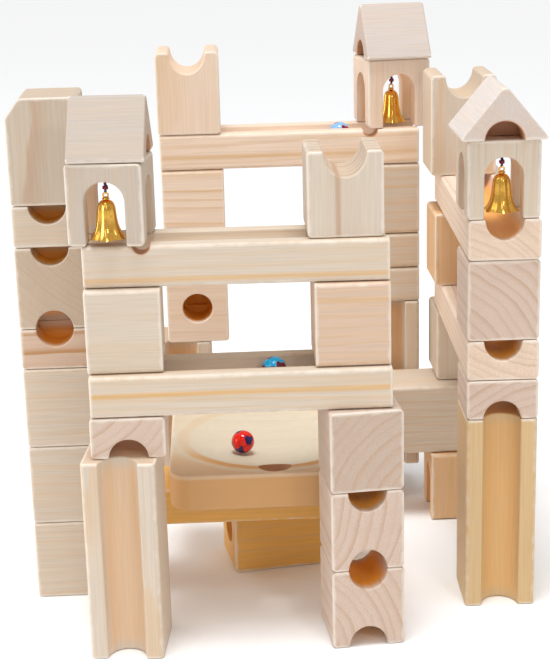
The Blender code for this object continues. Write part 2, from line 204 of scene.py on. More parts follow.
def notch(width, depth, spring=0.0, rim=RIM_RADIUS):
    """Corners of a half-round cut into a face that lies along x; above spring it is a straight-sided arch.
    Without one, the arc's first bit on each side is left to the rounded rim."""
    corners = [corner(-width / 2, 0, rim, RIM_STEPS)]
    skipped = 0.0 if spring else 2.5 * rim / width
    for step in range(NOTCH_STEPS + 1):
        angle = math.pi - skipped - (math.pi - 2 * skipped) * step / NOTCH_STEPS
        corners.append(corner(width / 2 * math.cos(angle), spring + (depth - spring) * math.sin(angle), 0))
    corners.append(corner(width / 2, 0, rim, RIM_STEPS))
    return corners


GROOVE = notch(GROOVE_WIDTH, GROOVE_DEPTH)
TURRET_GROOVE = notch(TURRET_GROOVE_WIDTH, TURRET_GROOVE_DEPTH)
HORNED_GROOVE = notch(TURRET_GROOVE_WIDTH, TURRET_GROOVE_DEPTH, rim=HORN_RIM_RADIUS)
HALF_ROUND = notch(GROOVE_WIDTH, HALF_ROUND_DEPTH)
ARCH = notch(GROOVE_WIDTH, ARCH_DEPTH, spring=ARCH_DEPTH - GROOVE_WIDTH / 2)


def block_outline(width, height, low=(), high=(), crown=CORNER_RADIUS):
    """A rounded rectangle centred on x and standing on y = 0, with cuts in its low and high sides."""
    corners = [corner(-width / 2, 0), *low, corner(width / 2, 0), corner(width / 2, height, crown)]
    for x, y, radius, steps in high:
        corners.append((-x, height - y, radius, steps))
    corners.append(corner(-width / 2, height, crown))
    return rounded(corners)


def inset(points, distance):
    """The outline moved inwards by an even distance."""
    moved = []
    for index, point in enumerate(points):
        along = (point - points[index - 1]).normalized()
        onward = (points[(index + 1) % len(points)] - point).normalized()
        normals = Vector((-along.y, along.x)), Vector((-onward.y, onward.x))
        moved.append(point + (normals[0] + normals[1]) * (distance / (1 + normals[0].dot(normals[1]))))
    return moved


# What an outline's x, y and the distance along the extrusion become, for each direction of extrusion
DIRECTIONS = {
    "X": Matrix(((0, 0, 1), (1, 0, 0), (0, 1, 0))),
    "Y": Matrix(((1, 0, 0), (0, 0, 1), (0, 1, 0))),
    "Z": Matrix(((1, 0, 0), (0, 1, 0), (0, 0, 1))),
}
AXES = {"X": Vector((1, 0, 0)), "Y": Vector((0, 1, 0)), "Z": Vector((0, 0, 1))}


# Meshes


def new_object(name, builder):
    bmesh.ops.recalc_face_normals(builder, faces=builder.faces)
    mesh = bpy.data.meshes.new(name)
    builder.to_mesh(mesh)
    builder.free()
    obj = bpy.data.objects.new(name, mesh)
    bpy.context.scene.collection.objects.link(obj)
    return obj


def bridge(builder, lower, upper):
    for index in range(len(lower)):
        following = (index + 1) % len(lower)
        builder.faces.new((lower[index], lower[following], upper[following], upper[index]))


def prism(name, points, length, along):
    """An outline extruded along an axis with rounded ends, centred on its own box."""
    sections = []
    for step in range(END_STEPS + 1):
        angle = math.pi / 2 * step / END_STEPS
        distance = END_BEVEL * (1 - math.cos(angle))
        sections.append((inset(points, END_BEVEL * (1 - math.sin(angle))), distance))
    for section, distance in reversed(sections[:]):
        sections.append((section, length - distance))
    builder = bmesh.new()
    rings = []
    for section, distance in sections:
        ring = [builder.verts.new(DIRECTIONS[along] @ Vector((p.x, p.y, distance))) for p in section]
        rings.append(ring)
    for lower, upper in zip(rings, rings[1:]):
        bridge(builder, lower, upper)
    builder.faces.new(rings[0])
    builder.faces.new(rings[-1])
    low = Vector(min(v.co[axis] for v in builder.verts) for axis in range(3))
    high = Vector(max(v.co[axis] for v in builder.verts) for axis in range(3))
    bmesh.ops.translate(builder, vec=-(low + high) / 2, verts=builder.verts)
    return new_object(name, builder)


def combine(body, builder, matrix, operation="DIFFERENCE"):
    """Cuts or joins a solid, placed in the body's own axes."""
    tool = new_object(body.name + "_tool", builder)
    tool.matrix_world = matrix
    change = body.modifiers.new("change", "BOOLEAN")
    change.operation = operation
    change.object = tool
    bpy.context.view_layer.update()
    settle(body)
    bpy.data.objects.remove(tool)


def settle(obj):
    """Makes what the modifiers give the object's own mesh."""
    graph = bpy.context.evaluated_depsgraph_get()
    mesh = bpy.data.meshes.new_from_object(obj.evaluated_get(graph))
    obj.modifiers.clear()
    old = obj.data
    obj.data = mesh
    bpy.data.meshes.remove(old)


def round_cut(body, radius, length, matrix, rim=BORE_RIM_RADIUS):
    """Cuts a round bore about the matrix's own z axis, from its origin upwards, with a rounded rim."""
    builder = bmesh.new()
    shift = Matrix.Translation((0, 0, length / 2))
    bmesh.ops.create_cone(builder, cap_ends=True, segments=BORE_SIDES, radius1=radius, radius2=radius,
                          depth=length, matrix=shift)
    combine(body, builder, matrix)
    if not rim:
        return
    builder = bmesh.new()
    builder.from_mesh(body.data)
    to_bore = matrix.inverted()
    near = 0.00002
    walls = set()
    for face in builder.faces:
        spots = [to_bore @ vertex.co for vertex in face.verts]
        if all(abs(spot.to_2d().length - radius) < near for spot in spots):
            walls.add(face)
    edges = []
    for edge in builder.edges:
        bounding = sum(face in walls for face in edge.link_faces) == 1
        if bounding and all((to_bore @ vertex.co).z < length - near for vertex in edge.verts):
            edges.append(edge)
    bmesh.ops.bevel(builder, geom=edges, offset=rim, segments=3, affect="EDGES", profile=0.5, clamp_overlap=True)
    builder.to_mesh(body.data)
    builder.free()


def smooth(obj):
    """Soft bevels between flat faces."""
    obj.data.shade_smooth()
    obj.data.set_sharp_from_angle(angle=SHARP_ANGLE)
    soften = obj.modifiers.new("soften", "WEIGHTED_NORMAL")
    soften.keep_sharp = True
    settle(obj)


def lathe(builder, profile, sides, ripple=None):
    """Turns a closed profile of (radius, height) about z; it starts and ends on the axis."""
    first = builder.verts.new((0, 0, profile[0][1]))
    last = builder.verts.new((0, 0, profile[-1][1]))
    rings = []
    for radius, height in profile[1:-1]:
        ring = []
        for side in range(sides):
            angle = 2 * math.pi * side / sides
            reach = radius + (ripple(angle, height) if ripple else 0)
            ring.append(builder.verts.new((reach * math.cos(angle), reach * math.sin(angle), height)))
        rings.append(ring)
    for side in range(sides):
        following = (side + 1) % sides
        builder.faces.new((first, rings[0][side], rings[0][following]))
        builder.faces.new((rings[-1][side], last, rings[-1][following]))
    for upper, lower in zip(rings, rings[1:]):
        bridge(builder, upper, lower)


def tube(builder, points, radius, sides=10, closed=False):
    """A round tube along points."""
    rings = []
    count = len(points)
    for index, point in enumerate(points):
        if closed:
            forward = (points[(index + 1) % count] - points[index - 1]).normalized()
        else:
            forward = (points[min(index + 1, count - 1)] - points[max(index - 1, 0)]).normalized()
        guide = Vector((0, 1, 0)) if abs(forward.y) < 0.9 else Vector((1, 0, 0))
        side = forward.cross(guide).normalized()
        other = forward.cross(side)
        ring = []
        for step in range(sides):
            angle = 2 * math.pi * step / sides
            ring.append(builder.verts.new(point + (side * math.cos(angle) + other * math.sin(angle)) * radius))
        rings.append(ring)
    for lower, upper in zip(rings, rings[1:]):
        bridge(builder, lower, upper)
    if closed:
        bridge(builder, rings[-1], rings[0])
    else:
        builder.faces.new(rings[0])
        builder.faces.new(rings[-1])


# Materials


def node(tree, kind, inputs=(), **settings):
    """A shader node, its inputs linked where the value is a socket."""
    made = tree.nodes.new("ShaderNode" + kind)
    for key, value in settings.items():
        setattr(made, key, value)
    for place, value in inputs:
        if isinstance(value, bpy.types.NodeSocket):
            tree.links.new(value, made.inputs[place])
        else:
            made.inputs[place].default_value = value
    return made


def maths(tree, operation, *values):
    return node(tree, "Math", enumerate(values), operation=operation).outputs[0]


def vectors(tree, operation, *values):
    made = node(tree, "VectorMath", enumerate(values), operation=operation)
    return made.outputs["Value" if operation in ("LENGTH", "DOT_PRODUCT") else "Vector"]


def scaled(tree, vector, factor):
    made = node(tree, "VectorMath", ((0, vector), ("Scale", factor)), operation="SCALE")
    return made.outputs["Vector"]


def step_between(tree, value, low, high, start=0.0, end=1.0):
    """A smooth step of value from start to end, as it goes from low to high."""
    inputs = (("Value", value), ("From Min", low), ("From Max", high), ("To Min", start), ("To Max", end))
    return node(tree, "MapRange", inputs, interpolation_type="SMOOTHSTEP").outputs["Result"]


def noise(tree, vector, scale, detail=2.0, dimensions="3D"):
    where = "W" if dimensions == "1D" else "Vector"
    inputs = ((where, vector), ("Scale", scale), ("Detail", detail))
    return node(tree, "TexNoise", inputs, noise_dimensions=dimensions).outputs["Fac"]


def blended(tree, factor, first, second, mode="MIX"):
    made = node(tree, "Mix", ((0, factor), (6, first), (7, second)), data_type="RGBA", blend_type=mode)
    return made.outputs[2]


def pine_group():
    """Grain, rings, end grain, worn edges with a painted highlight, and painted shade in the hollows of one block,
    from its own coordinates.
    """
    tree = bpy.data.node_groups.new("pine", "ShaderNodeTree")
    sockets = (
        ("Position", "NodeSocketVector"), ("Facing", "NodeSocketVector"), ("Half Size", "NodeSocketVector"),
        ("Grain", "NodeSocketVector"), ("Pith", "NodeSocketVector"), ("Spacing", "NodeSocketFloat"),
        ("Boldness", "NodeSocketFloat"), ("Early", "NodeSocketColor"), ("Late", "NodeSocketColor"),
        ("Hollow", "NodeSocketFloat"), ("Seed", "NodeSocketFloat"), ("Streak", "NodeSocketVector"),
        ("Streak At", "NodeSocketFloat"), ("Streak Strength", "NodeSocketFloat"),
    )
    for name, kind in sockets:
        tree.interface.new_socket(name, in_out="INPUT", socket_type=kind)
    for name, kind in (("Color", "NodeSocketColor"), ("Roughness", "NodeSocketFloat"),
                       ("Normal", "NodeSocketVector")):
        tree.interface.new_socket(name, in_out="OUTPUT", socket_type=kind)
    given = tree.nodes.new("NodeGroupInput").outputs

    # Coordinates that run slowly along the grain, so that everything stretches that way
    along = vectors(tree, "DOT_PRODUCT", given["Position"], given["Grain"])
    across = vectors(tree, "SUBTRACT", given["Position"], scaled(tree, given["Grain"], along))
    shifted = node(tree, "CombineXYZ", ((0, given["Seed"]), (1, given["Seed"]), (2, given["Seed"])))
    slow = maths(tree, "MULTIPLY", along, 0.16)
    stretched = vectors(tree, "ADD", across, scaled(tree, given["Grain"], slow))
    stretched = vectors(tree, "ADD", stretched, shifted.outputs[0])
    thin = maths(tree, "MULTIPLY", along, 0.02)
    hairs = vectors(tree, "ADD", across, scaled(tree, given["Grain"], thin))
    hairs = vectors(tree, "ADD", hairs, shifted.outputs[0])

    # Year rings about the pith
    wander = maths(tree, "MULTIPLY_ADD", noise(tree, stretched, 34.0, 1.5), 0.006, -0.003)
    ripple = maths(tree, "MULTIPLY_ADD", noise(tree, stretched, 230.0, 1.0), 0.0012, -0.0006)
    bend = maths(tree, "ADD", wander, ripple)
    from_pith = vectors(tree, "LENGTH", vectors(tree, "SUBTRACT", across, given["Pith"]))
    distance = maths(tree, "ADD", maths(tree, "ADD", from_pith, bend), maths(tree, "MULTIPLY", along, 0.02))
    years = maths(tree, "DIVIDE", distance, given["Spacing"])
    years = maths(tree, "ADD", years, given["Seed"])
    uneven = maths(tree, "MULTIPLY_ADD", noise(tree, years, 0.31, 1.0, "1D"), 1.7, years)
    season = maths(tree, "FRACT", uneven)
    rise = step_between(tree, season, 0.30, 0.93)
    rise = maths(tree, "POWER", rise, 1.8)
    fall = step_between(tree, season, 0.95, 1.0, 1.0, 0.0)
    year = node(tree, "TexWhiteNoise", (("W", maths(tree, "FLOOR", uneven)),), noise_dimensions="1D")
    strength = maths(tree, "MULTIPLY_ADD", year.outputs["Value"], 0.75, 0.30)
    late = maths(tree, "MULTIPLY", maths(tree, "MULTIPLY", rise, fall), strength)
    late = maths(tree, "MULTIPLY", late, given["Boldness"])

    # One broad resinous streak
    offset = vectors(tree, "DOT_PRODUCT", given["Position"], given["Streak"])
    offset = maths(tree, "SUBTRACT", maths(tree, "ADD", offset, maths(tree, "MULTIPLY", bend, 0.35)),
                   given["Streak At"])
    streak = step_between(tree, maths(tree, "ABSOLUTE", offset), 0.0004, 0.0024, 1.0, 0.0)
    streak = maths(tree, "MULTIPLY", streak, given["Streak Strength"])
    late = maths(tree, "MAXIMUM", late, streak)

    fibres = noise(tree, hairs, 1500.0, 2.0)
    bands = noise(tree, stretched, 70.0, 2.0)
    colour = blended(tree, late, given["Early"], given["Late"])
    tone = step_between(tree, fibres, 0.25, 0.75, 0.93, 1.05)
    colour = blended(tree, 1.0, colour, node(tree, "CombineColor", ((0, tone), (1, tone), (2, tone))).outputs[0],
                     "MULTIPLY")
    warmth = step_between(tree, bands, 0.35, 0.75, 0.0, 0.30)
    colour = blended(tree, warmth, colour, blended(tree, 0.45, given["Early"], given["Late"]))

    # End grain is darker and full of open pores
    facing = maths(tree, "ABSOLUTE", vectors(tree, "DOT_PRODUCT", given["Facing"], given["Grain"]))
    ends = step_between(tree, facing, 0.55, 0.95)
    pores = step_between(tree, noise(tree, given["Position"], 1400.0, 1.0), 0.50, 0.72)
    colour = blended(tree, maths(tree, "MULTIPLY", ends, 0.55), colour, (0.93, 0.86, 0.80, 1), "MULTIPLY")
    colour = blended(tree, maths(tree, "MULTIPLY", maths(tree, "MULTIPLY", pores, ends), 0.25), colour,
                     given["Late"])

    # How far a point lies under the block's outer faces, for the painted shade in hollows and the worn edges with
    # their painted highlight
    depths = vectors(tree, "SUBTRACT", given["Half Size"], vectors(tree, "ABSOLUTE", given["Position"]))
    parts = node(tree, "SeparateXYZ", ((0, depths),)).outputs
    least = maths(tree, "MINIMUM", maths(tree, "MINIMUM", parts[0], parts[1]), parts[2])
    most = maths(tree, "MAXIMUM", maths(tree, "MAXIMUM", parts[0], parts[1]), parts[2])
    total = maths(tree, "ADD", maths(tree, "ADD", parts[0], parts[1]), parts[2])
    near_edge = maths(tree, "SUBTRACT", total, most)
    scuffs = noise(tree, given["Position"], 160.0, 3.0)
    reach = maths(tree, "MULTIPLY_ADD", scuffs, 0.0040, 0.0002)
    # Worn edges, lighter also as a painted highlight along the block's outer edges
    worn_and_highlit = step_between(tree, near_edge, reach, 0.0003, 0.0, 0.75)
    # Painted shade: hollows deep under the outer faces turn darker and orange-brown
    hollow_shade_mask = maths(tree, "MULTIPLY", step_between(tree, least, 0.0008, 0.0090), given["Hollow"])
    colour = blended(tree, hollow_shade_mask, colour, (*HOLLOW_SHADE_WOOD, 1))
    colour = blended(tree, worn_and_highlit, colour, (*WORN_HIGHLIGHT_WOOD, 1))

    # Handling marks
    marks = step_between(tree, noise(tree, given["Position"], 48.0, 4.0), 0.60, 0.78, 0.0, 0.16)
    colour = blended(tree, marks, colour, (*GREY_EARLY, 1))

    roughness = maths(tree, "MULTIPLY_ADD", fibres, 0.16, 0.46)
    roughness = maths(tree, "ADD", roughness, maths(tree, "MULTIPLY", marks, 0.5))
    roughness = maths(tree, "SUBTRACT", roughness, maths(tree, "MULTIPLY", late, 0.08))
    height = maths(tree, "MULTIPLY_ADD", late, 0.6, maths(tree, "MULTIPLY", fibres, 0.55))
    height = maths(tree, "SUBTRACT", height, maths(tree, "MULTIPLY", maths(tree, "MULTIPLY", pores, ends), 0.6))
    height = maths(tree, "ADD", height, maths(tree, "MULTIPLY", scuffs, 0.25))
    bump = node(tree, "Bump", (("Height", height), ("Strength", 0.32), ("Distance", 0.0004)))

    result = tree.nodes.new("NodeGroupOutput").inputs
    tree.links.new(colour, result["Color"])
    tree.links.new(roughness, result["Roughness"])
    tree.links.new(bump.outputs["Normal"], result["Normal"])
    return tree


PINE = pine_group()


def new_material(name):
    material = bpy.data.materials.new(name)
    material.use_nodes = True
    tree = material.node_tree
    return material, tree, tree.nodes["Principled BSDF"]


def seed_of(name):
    """A number from 0 to 1 that is always the same for a name."""
    return zlib.crc32(name.encode()) % 1000 / 1000


def stain_and_shade_tray(tree, colour, where, high):
    """A resinous ring round the tray's dish, strongest in front, and painted shade on its sides, which turn golden
    brown below the top edge.
    """
    centre = (0.0, DISH_SETBACK - 3 * MODULE / 2, 0.0)
    flat = vectors(tree, "MULTIPLY", vectors(tree, "SUBTRACT", where, centre), (1, 1, 0))
    uneven = maths(tree, "MULTIPLY_ADD", noise(tree, where, 60.0, 3.0), 0.0040, -0.0020)
    reach = maths(tree, "ADD", vectors(tree, "LENGTH", flat), uneven)
    off = maths(tree, "ABSOLUTE", maths(tree, "SUBTRACT", reach, DISH_RIM_RADIUS + 0.0010))
    parts = node(tree, "SeparateXYZ", ((0, where),)).outputs
    front = step_between(tree, parts[1], centre[1] - 0.046, centre[1] - 0.010, 1.0, 0.25)
    outer = step_between(tree, reach, DISH_RIM_RADIUS - 0.0005, DISH_RIM_RADIUS + 0.0015)
    ring = step_between(tree, off, 0.0012, 0.0056, 0.95, 0.0)
    ring = maths(tree, "MULTIPLY", ring, front)
    outside = step_between(tree, reach, DISH_RIM_RADIUS, DISH_RIM_RADIUS + 0.012, 0.0, 0.55)
    outside = maths(tree, "MULTIPLY", outside, front)
    # Painted shade: the sides below the top edge turn darker and golden
    sides = step_between(tree, parts[2], high - 0.0030, high - 0.0009, 0.85, 0.0)
    sides = maths(tree, "MULTIPLY", sides, outer)
    stain_and_shade = maths(tree, "MAXIMUM", maths(tree, "MAXIMUM", ring, outside), sides)
    return blended(tree, stain_and_shade, colour, (*TRAY_LATE_AND_SHADE, 1))


def shade_bore(tree, colour, where, along, centre, radius, half_length=1.0):
    """Painted shade: darker, redder colour inside a bore or half-round whose axis runs along an axis through centre.
    """
    keep = Vector((1, 1, 1)) - AXES[along]
    offset = vectors(tree, "SUBTRACT", where, centre)
    away = vectors(tree, "LENGTH", vectors(tree, "MULTIPLY", offset, keep))
    inside = step_between(tree, away, radius + 0.0002, radius + 0.0008, 0.85, 0.0)
    lengthwise = maths(tree, "ABSOLUTE", vectors(tree, "DOT_PRODUCT", offset, AXES[along]))
    within = maths(tree, "LESS_THAN", lengthwise, half_length)
    return blended(tree, maths(tree, "MULTIPLY", inside, within), colour, (*BORE_SHADE_WOOD, 1))


def pine(obj, grain="Z", pith=None, spacing=0.0042, bold=0.50, early=EARLY_WOOD, late=LATE_WOOD, hollow=1.0,
         streak=None, strength=0.9, tray=False, bore=None):
    """Gives a block its own piece of pine. pith is where the tree's middle lies in the block's own axes, and
    streak is (axis, distance from the block's middle) of one bold ring; the hollow value sets how strongly shade is
    painted into its hollows, and bore gives the bore whose inside gets painted shade."""
    low = Vector(min(v.co[axis] for v in obj.data.vertices) for axis in range(3))
    seed = seed_of(obj.name)
    if pith is None:
        turn = 2 * math.pi * seed
        pith = [0.085 * math.cos(turn), 0.085 * math.sin(turn)]
        pith.insert("XYZ".index(grain), 0.0)
    material, tree, shader = new_material(obj.name + "_pine")
    where = node(tree, "TexCoord")
    axis, place = streak or ("Z", 0.0)
    inputs = (
        ("Position", where.outputs["Object"]), ("Facing", where.outputs["Normal"]), ("Half Size", -low),
        ("Grain", AXES[grain]), ("Pith", pith), ("Spacing", spacing), ("Boldness", bold), ("Early", (*early, 1)),
        ("Late", (*late, 1)), ("Hollow", hollow), ("Seed", seed * 9), ("Streak", AXES[axis]),
        ("Streak At", place), ("Streak Strength", strength if streak else 0.0),
    )
    group = tree.nodes.new("ShaderNodeGroup")
    group.node_tree = PINE
    for name, value in inputs:
        if isinstance(value, bpy.types.NodeSocket):
            tree.links.new(value, group.inputs[name])
        else:
            group.inputs[name].default_value = value
    colour = group.outputs["Color"]
    if tray:
        # The dish's resinous ring and the painted shade on the tray's sides
        colour = stain_and_shade_tray(tree, colour, where.outputs["Object"], -low.z)
    # Painted shade inside the bore, notch or half-round given
    if bore:
        colour = shade_bore(tree, colour, where.outputs["Object"], *bore)
    tree.links.new(colour, shader.inputs["Base Color"])
    tree.links.new(group.outputs["Roughness"], shader.inputs["Roughness"])
    tree.links.new(group.outputs["Normal"], shader.inputs["Normal"])
    shader.inputs["Specular IOR Level"].default_value = 0.38
    obj.data.materials.clear()
    obj.data.materials.append(material)


def brass(name):
    """Polished yellow brass with faint turning marks and tarnish."""
    material, tree, shader = new_material(name)
    where = node(tree, "TexCoord").outputs["Object"]
    tarnish = step_between(tree, noise(tree, where, 420.0, 4.0), 0.52, 0.74, 0.0, 0.65)
    colour = blended(tree, tarnish, (0.93, 0.53, 0.10, 1), (0.50, 0.20, 0.03, 1))
    parts = node(tree, "SeparateXYZ", ((0, where),)).outputs
    turning = maths(tree, "SINE", maths(tree, "MULTIPLY", parts[2], 14000.0))
    roughness = maths(tree, "MULTIPLY_ADD", tarnish, 0.30, 0.13)
    height = maths(tree, "ADD", maths(tree, "MULTIPLY", turning, 0.3), noise(tree, where, 900.0))
    bump = node(tree, "Bump", (("Height", height), ("Strength", 0.10), ("Distance", 0.0001)))
    tree.links.new(colour, shader.inputs["Base Color"])
    tree.links.new(roughness, shader.inputs["Roughness"])
    tree.links.new(bump.outputs["Normal"], shader.inputs["Normal"])
    shader.inputs["Metallic"].default_value = 1.0
    return material


def thread(name, first, second):
    """Spun thread whose fibres wind round it."""
    material, tree, shader = new_material(name)
    where = node(tree, "TexCoord").outputs["Object"]
    fuzz = noise(tree, where, 3200.0, 3.0)
    parts = node(tree, "SeparateXYZ", ((0, where),)).outputs
    lay = maths(tree, "ADD", maths(tree, "MULTIPLY", parts[2], 9000.0), maths(tree, "MULTIPLY", parts[0], 6000.0))
    twist = maths(tree, "SINE", lay)
    height = maths(tree, "ADD", maths(tree, "MULTIPLY", twist, 0.5), fuzz)
    bump = node(tree, "Bump", (("Height", height), ("Strength", 0.6), ("Distance", 0.0001)))
    colour = blended(tree, step_between(tree, height, 0.1, 1.0), (*first, 1), (*second, 1))
    tree.links.new(colour, shader.inputs["Base Color"])
    tree.links.new(step_between(tree, fuzz, 0.2, 0.8, 0.75, 0.95), shader.inputs["Roughness"])
    tree.links.new(bump.outputs["Normal"], shader.inputs["Normal"])
    return material


def swirled_glass(name, base, spots, cloud, split):
    """Opaque glass: a clouded colour with inlaid spots, and a second colour below split."""
    material, tree, shader = new_material(name)
    where = node(tree, "TexCoord").outputs["Object"]
    clouds = noise(tree, where, 260.0, 3.0)
    colour = blended(tree, step_between(tree, clouds, 0.40, 0.70, 0.0, 0.85), (*base, 1), (*cloud, 1))
    drift = vectors(tree, "MULTIPLY_ADD", where, (-1, 1, 1), (0.031, 0.017, 0.008))
    blotches = step_between(tree, noise(tree, drift, 210.0, 0.5), 0.55, 0.58)
    parts = node(tree, "SeparateXYZ", ((0, where),)).outputs
    wave = maths(tree, "MULTIPLY_ADD", clouds, 0.006, maths(tree, "ADD", parts[2], -0.003))
    lower = step_between(tree, wave, split - 0.0006, split + 0.0006, 1.0, 0.0)
    colour = blended(tree, maths(tree, "MAXIMUM", blotches, lower), colour, (*spots, 1))
    dust = noise(tree, where, 700.0, 3.0)
    bump = node(tree, "Bump", (("Height", clouds), ("Strength", 0.05), ("Distance", 0.0002)))
    tree.links.new(colour, shader.inputs["Base Color"])
    tree.links.new(step_between(tree, dust, 0.35, 0.75, 0.05, 0.16), shader.inputs["Roughness"])
    tree.links.new(bump.outputs["Normal"], shader.inputs["Normal"])
    shader.inputs["Specular IOR Level"].default_value = 0.35
    shader.inputs["Coat Weight"].default_value = 0.25
    shader.inputs["Coat Roughness"].default_value = 0.03
    return material


# Pieces


def box_centre(name):
    low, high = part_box(name)
    return (low + high) / 2


def take_place(obj, name, turn=0.0, centre=None):
    """Puts a piece where its CAD node is, on the node's body, in the node's stead."""
    spot = box_centre(name) if centre is None else centre
    obj.matrix_world = Matrix.Translation(spot) @ Matrix.Rotation(math.radians(turn), 4, "Z")
    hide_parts(name)
    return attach(obj, frame["nodes"][name]["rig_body"])


def height_of(name):
    low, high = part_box(name)
    return high.z - low.z


def shape_block(name, along="Y", low=(), high=(), size=(MODULE, MODULE), crown=CORNER_RADIUS):
    """A block of the system with its own height, about its own centre."""
    width, depth = size
    height = height_of(name)
    spans = {"X": (depth, height, width), "Y": (width, height, depth), "Z": (width, depth, height)}
    across, tall, length = spans[along]
    return prism(name + "_wood", block_outline(across, tall, low, high, crown), length, along)


def finish_block(obj, name, turn, wood):
    smooth(obj)
    pine(obj, **wood)
    return take_place(obj, name, turn)


def block(name, along="Y", low=(), high=(), turn=0.0, size=(MODULE, MODULE), crown=CORNER_RADIUS, **wood):
    """A block with cuts in its lower and upper (or front and back) sides, and its own grain."""
    return finish_block(shape_block(name, along, low, high, size, crown), name, turn, wood)


def rail(name, length, along="X", turn=0.0, notch_at=None, **wood):
    """A grooved rail; notch_at is where the small notch in its front rim lies, from its left end."""
    size = (length, MODULE) if along == "X" else (MODULE, length)
    obj = shape_block(name, along, high=GROOVE, size=size)
    if notch_at is not None:
        place = Matrix.Translation((notch_at - length / 2, -MODULE / 2 - CLEAR, height_of(name) / 2))
        round_cut(obj, RIM_NOTCH_RADIUS, MODULE / 2, place @ Matrix.Rotation(-math.pi / 2, 4, "X"))
        middle = (notch_at - length / 2, -MODULE / 2, height_of(name) / 2)
        # Painted shade inside the rim notch
        wood["bore"] = ("Y", middle, RIM_NOTCH_RADIUS, (MODULE - GROOVE_WIDTH) / 2 + 0.0005)
    return finish_block(obj, name, turn, {"grain": along, "hollow": 0.04, **wood})


def bell_house(name, turn=0.0, **wood):
    """A cube with an arch through it both ways."""
    obj = shape_block(name, "Y", low=ARCH)
    floor = -height_of(name) / 2
    outline = [Vector(c[:2]) for c in ARCH]
    outline[0].y = -CLEAR
    outline[-1].y = -CLEAR
    builder = bmesh.new()
    ends = []
    for distance in (-MODULE / 2 - CLEAR, MODULE / 2 + CLEAR):
        ends.append([builder.verts.new((distance, p.x, p.y + floor)) for p in outline])
    bridge(builder, *ends)
    for end in ends:
        builder.faces.new(end)
    combine(obj, builder, Matrix.Identity(4))
    return finish_block(obj, name, turn, {"grain": "Z", "hollow": 0.30, **wood})


def blind_groove_cut(obj, height, depth):
    """Cuts a half-round from the front of a block at its top or foot, closed at the back."""
    place = Matrix.Translation((0, -depth / 2 - CLEAR, height)) @ Matrix.Rotation(-math.pi / 2, 4, "X")
    round_cut(obj, GROOVE_WIDTH / 2, BLIND_GROOVE_LENGTH + CLEAR, place)


def roof(name, length, along, turn=0.0, blind=False, **wood):
    """A gabled roof with its ridge along the extrusion and a half-round under it, through or blind."""
    depth = ROOF_DEPTH
    steepness = math.hypot(height_of(name), depth / 2) / (depth / 2)
    tip = height_of(name) + RIDGE_RADIUS * (steepness - 1)
    under = () if blind else HALF_ROUND
    corners = [corner(-depth / 2, 0, ROOF_RADIUS), *under, corner(depth / 2, 0, ROOF_RADIUS),
               corner(0, tip, RIDGE_RADIUS)]
    obj = prism(name + "_wood", rounded(corners), length, along)
    if blind:
        blind_groove_cut(obj, -height_of(name) / 2, length)
    # Painted shade inside the half-round under the roof
    bore = (along, (0, 0, -height_of(name) / 2), GROOVE_WIDTH / 2)
    return finish_block(obj, name, turn, {"grain": along, "hollow": 0.0, "bore": bore, **wood})


def blind_grooved(name, at_foot=False, **wood):
    """A block of the left tower with a half-round in its top, and one at its foot, closed at the back."""
    obj = shape_block(name, "Y")
    half = height_of(name) / 2
    for height in (half, -half)[: 1 + at_foot]:
        blind_groove_cut(obj, height, MODULE)
    return finish_block(obj, name, 0.0, wood)


def cap_block(name, **wood):
    height = height_of(name)
    half = MODULE / 2
    corners = [corner(-half, 0), corner(half, 0), corner(half, height),
               corner(CAP_CHAMFER_WIDTH - half, height), corner(-half, height - CAP_CHAMFER_HEIGHT)]
    obj = prism(name + "_wood", rounded(corners), MODULE, "Y")
    return finish_block(obj, name, 0.0, {"hollow": 0.0, **wood})


def catch_tray(name, **wood):
    low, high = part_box(name)
    side = high.x - low.x
    half = side / 2
    height = high.z - low.z
    corners = [corner(-half, 0, TRAY_CORNER_RADIUS, 12), corner(half, 0), corner(half, side), corner(-half, side)]
    obj = prism(name + "_wood", rounded(corners), height, "Z")
    rise = math.sqrt(DISH_RADIUS ** 2 - DISH_RIM_RADIUS ** 2)
    builder = bmesh.new()
    bmesh.ops.create_uvsphere(builder, u_segments=96, v_segments=120, radius=DISH_RADIUS)
    combine(obj, builder, Matrix.Translation((0, DISH_SETBACK - half, height / 2 + rise)))
    round_cut(obj, DROP_HOLE_RADIUS, 0.04, Matrix.Translation((0, DROP_HOLE_SETBACK - half, -height)))
    # Painted shade inside the drop hole
    bore = ("Z", (0, DROP_HOLE_SETBACK - half, 0), DROP_HOLE_RADIUS)
    return finish_block(obj, name, 0.0, {"grain": "X", "hollow": 0.0, "bore": bore, **wood})


def support_block(name, size, turn, **wood):
    obj = shape_block(name, "Y", size=size)
    middle = 1.05 * LAYER - height_of(name) / 2
    tunnel = Matrix.Translation((-size[0] / 2 - CLEAR, 0, middle)) @ Matrix.Rotation(math.pi / 2, 4, "Y")
    round_cut(obj, TUNNEL_RADIUS, size[0] + 2 * CLEAR, tunnel)
    return finish_block(obj, name, turn, wood)


def drop_hole_cube(name, **wood):
    obj = shape_block(name, "Y")
    floor = -height_of(name) / 2
    out = Matrix.Translation((0, -MODULE / 2 - CLEAR, LAYER + floor)) @ Matrix.Rotation(-math.pi / 2, 4, "X")
    round_cut(obj, EXIT_BORE_RADIUS, EXIT_BORE_DEPTH, out)
    round_cut(obj, EXIT_BORE_RADIUS - 0.0004, 0.05, Matrix.Translation((0, 0, LAYER * 0.8 + floor)), rim=0)
    return finish_block(obj, name, 0.0, wood)


def bell_outer(radius, height):
    """Radius of the bell's outside at a height above its mouth, which has the radius given."""
    share = height / BELL_CROWN
    return radius * (0.5 * math.sqrt(max(0.0, 1 - share ** 10)) + 0.5 * math.exp(-4.2 * share))


